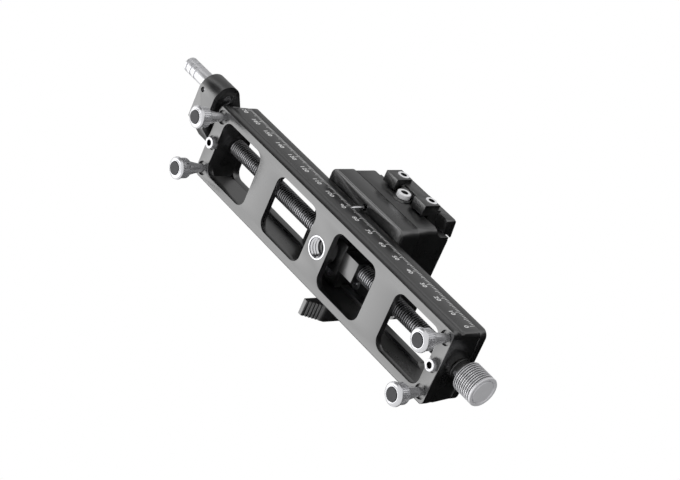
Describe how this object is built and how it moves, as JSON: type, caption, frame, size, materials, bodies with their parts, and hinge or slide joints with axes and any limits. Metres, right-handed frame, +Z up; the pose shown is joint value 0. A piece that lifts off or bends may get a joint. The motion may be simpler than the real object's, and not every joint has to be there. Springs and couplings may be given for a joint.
{
  "type": "macro focusing rail",
  "caption": "Macro focusing rail: a lead screw with knob and crank moves a carriage with a lever-release dovetail clamp along a scaled rail on screw-in feet",
  "frame": {"origin": "centre of the tripod thread's mouth, in the plane of the rail's base face", "axes": "+X along the rail towards the knob, +Z up towards the clamp, -Y towards the side with the scale"},
  "size_m": [0.2308, 0.0699, 0.0733],
  "materials": {
    "black_alloy": "satin black anodised",
    "dark_alloy": "fine matt black anodised",
    "polished_steel": "polished",
    "screw_steel": "satin",
    "pad_rubber": "matt"
  },
  "bodies": {
    "rail": {"rail_body": "black_alloy", "guide_plate": "dark_alloy", "guide_plate_screws": "screw_steel", "tripod_insert": "polished_steel", "stop_screws": "polished_steel", "bush_knob_end": "dark_alloy", "bush_crank_end": "dark_alloy"},
    "screw": {"lead_screw": "screw_steel", "thrust_collar": "dark_alloy", "collar_set_screw": "screw_steel", "knob": "polished_steel", "knob_end_cap": "polished_steel", "crank_arm": "black_alloy", "crank_set_screws": "screw_steel", "handle_axle": "screw_steel"},
    "handle": {"crank_handle": "polished_steel"},
    "carriage": {"carriage_plate": "black_alloy", "carriage_screws": "screw_steel", "slide_shoe": "dark_alloy", "shoe_screws": "screw_steel", "lead_nut": "black_alloy", "nut_screws": "screw_steel", "index_pin": "polished_steel", "clamp_block": "black_alloy", "fixed_jaw": "black_alloy", "fixed_jaw_screws": "polished_steel", "jaw_cover": "dark_alloy", "jaw_guide_pins": "screw_steel", "jaw_spring": "screw_steel", "pull_shaft": "screw_steel", "tension_screw": "polished_steel", "lever_cap_screw": "polished_steel"},
    "jaw": {"moving_jaw": "black_alloy", "cam_ring": "screw_steel"},
    "lever": {"clamp_lever": "black_alloy", "lever_cam": "screw_steel"},
    "foot_knob_scale": {"foot_knob_scale": "polished_steel", "pad_knob_scale": "pad_rubber"},
    "foot_knob_lever": {"foot_knob_lever": "polished_steel", "pad_knob_lever": "pad_rubber"},
    "foot_crank_scale": {"foot_crank_scale": "polished_steel", "pad_crank_scale": "pad_rubber"},
    "foot_crank_lever": {"foot_crank_lever": "polished_steel", "pad_crank_lever": "pad_rubber"}
  },
  "joints": [
    {"name": "screw_turn", "type": "hinge", "parent": "rail", "child": "screw", "pos_m": [0, 0, 0.0125], "axis": [1, 0, 0], "range_deg": [-17290, 17290]},
    {"name": "carriage_slide", "type": "slide", "parent": "rail", "child": "carriage", "axis": [1, 0, 0], "range_m": [-0.06, 0.06]},
    {"name": "handle_turn", "type": "hinge", "parent": "screw", "child": "handle", "pos_m": [-0.1145, -0.0193, 0.0047], "axis": [1, 0, 0], "continuous": true},
    {"name": "lever_turn", "type": "hinge", "parent": "carriage", "child": "lever", "pos_m": [-0.0018, 0.036, 0.041], "axis": [0, 1, 0], "range_deg": [0, 100]},
    {"name": "jaw_slide", "type": "slide", "parent": "carriage", "child": "jaw", "axis": [0, 1, 0], "range_m": [0, 0.00241]},
    {"name": "foot_knob_scale_screw_out", "type": "slide", "parent": "rail", "child": "foot_knob_scale", "axis": [0, 0, -1], "range_m": [0, 0.003]},
    {"name": "foot_knob_lever_screw_out", "type": "slide", "parent": "rail", "child": "foot_knob_lever", "axis": [0, 0, -1], "range_m": [0, 0.003]},
    {"name": "foot_crank_scale_screw_out", "type": "slide", "parent": "rail", "child": "foot_crank_scale", "axis": [0, 0, -1], "range_m": [0, 0.003]},
    {"name": "foot_crank_lever_screw_out", "type": "slide", "parent": "rail", "child": "foot_crank_lever", "axis": [0, 0, -1], "range_m": [0, 0.003]}
  ],
  "couplings": [
    {"joint": "screw_turn", "follows": "carriage_slide", "rad_per_m": -5026.5},
    {"joint": "jaw_slide", "follows": "lever_turn", "m_per_rad": 0.0013751}
  ]
}
